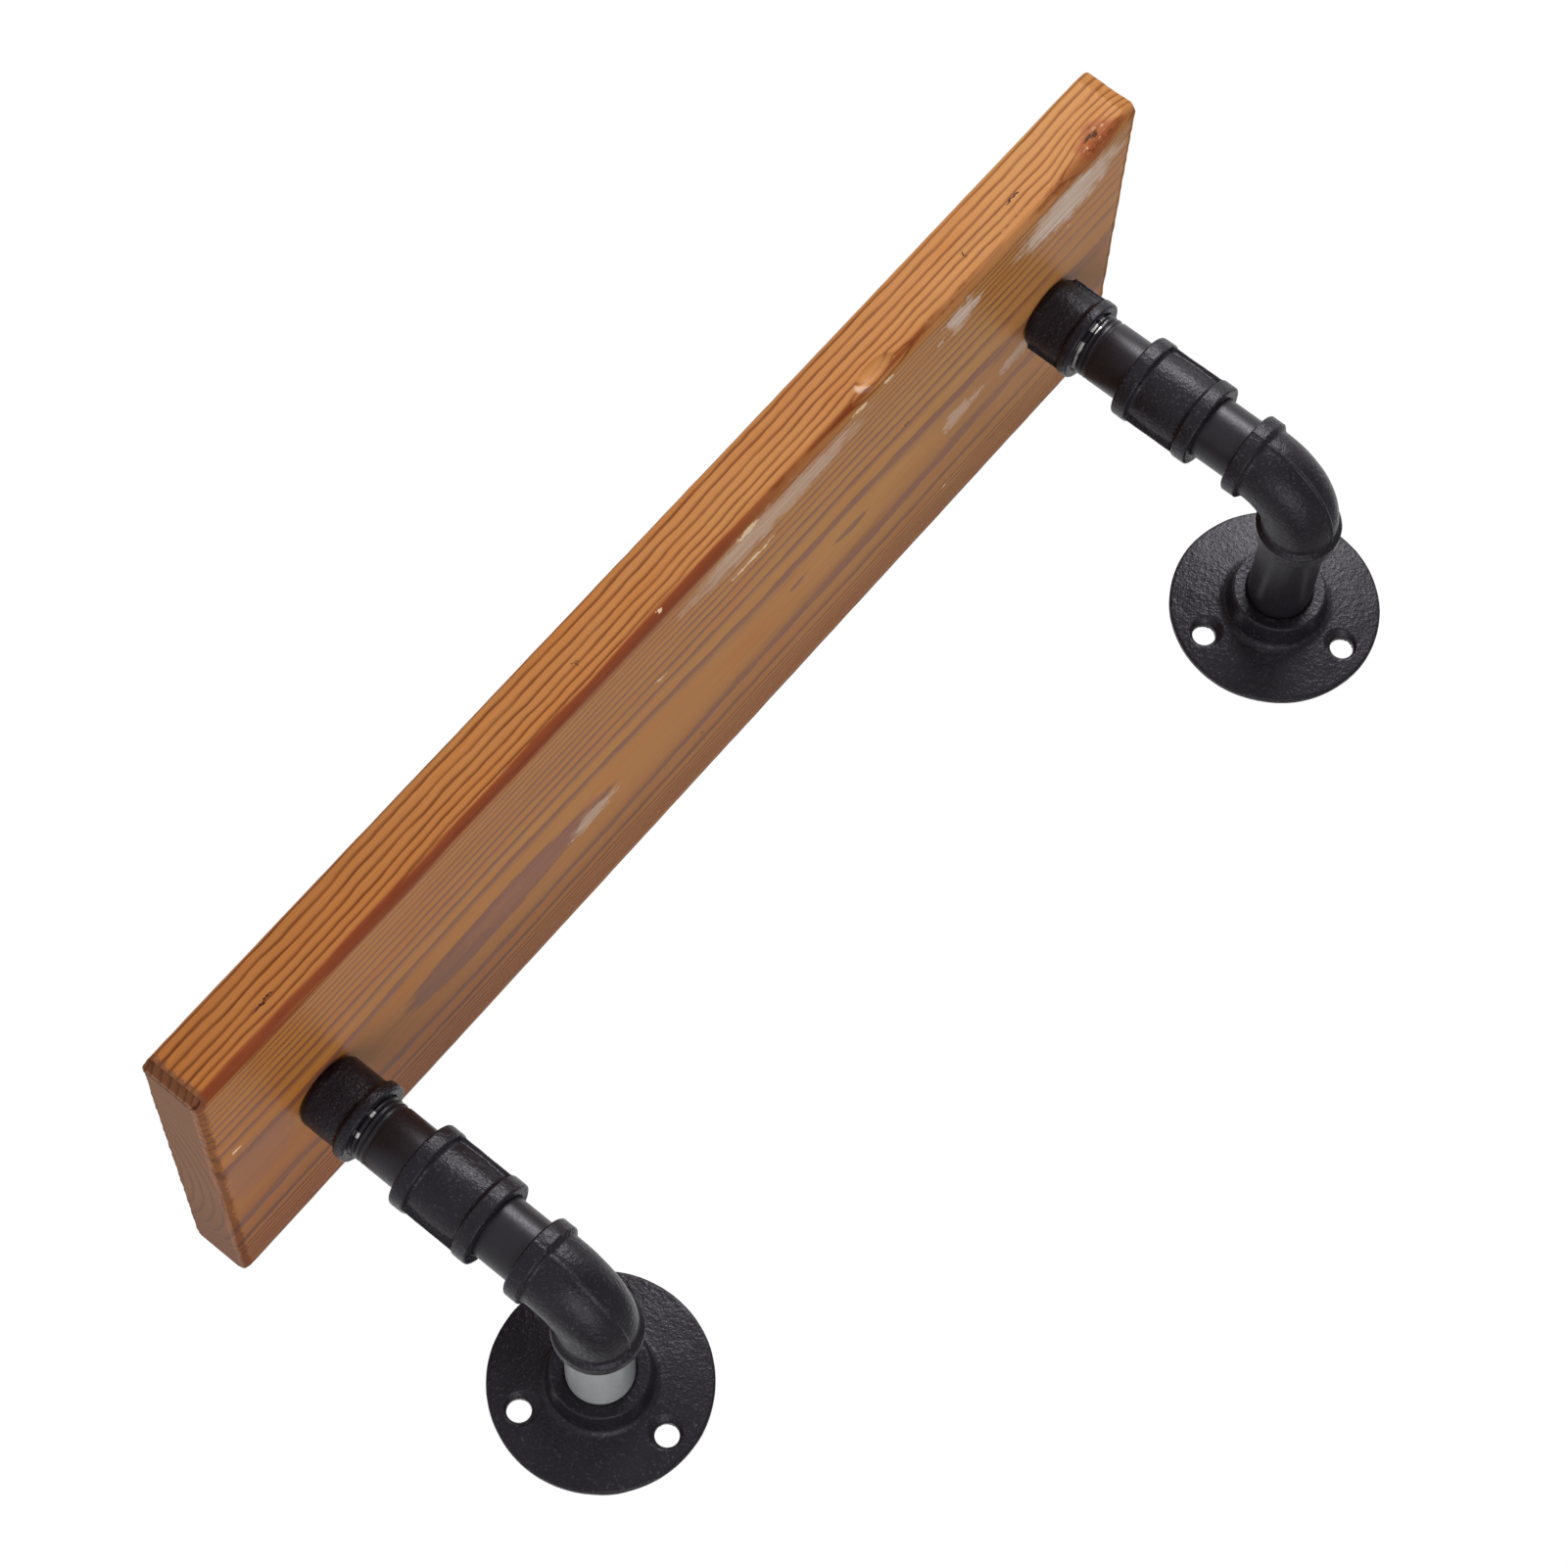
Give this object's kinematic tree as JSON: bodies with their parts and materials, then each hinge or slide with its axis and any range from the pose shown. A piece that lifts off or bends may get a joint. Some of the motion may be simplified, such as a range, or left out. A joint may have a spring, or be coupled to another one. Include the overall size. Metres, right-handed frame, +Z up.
{
  "type": "pipe wall shelf",
  "caption": "Wall shelf with one wooden board standing on two identical brackets of black iron pipe, elbows, couplings, caps and round wall flanges.",
  "frame": {"origin": "on the wall plane, midway between the axes of the two wall flanges", "axes": "+X along the board to the right as seen from the room, +Y into the wall, +Z up"},
  "size_m": [0.424, 0.154, 0.1601],
  "materials": {
    "stained_softwood": "orange-brown stain, satin, growth lines showing",
    "black_cast_iron": "black, matt, cast orange-peel skin",
    "black_pipe": "smooth satin black",
    "plated_screw_steel": "plain plated"
  },
  "bodies": {
    "root": {"shelf_board": "stained_softwood", "wall_flange_left": "black_cast_iron", "wall_nipple_left": "black_pipe", "elbow_left": "black_cast_iron", "lower_nipple_left": "black_pipe", "coupling_left": "black_cast_iron", "upper_nipple_left": "black_pipe", "pipe_cap_left": "black_cast_iron", "cap_screw_left": "plated_screw_steel", "wall_flange_right": "black_cast_iron", "wall_nipple_right": "black_pipe", "elbow_right": "black_cast_iron", "lower_nipple_right": "black_pipe", "coupling_right": "black_cast_iron", "upper_nipple_right": "black_pipe", "pipe_cap_right": "black_cast_iron", "cap_screw_right": "plated_screw_steel"}
  },
  "joints": []
}
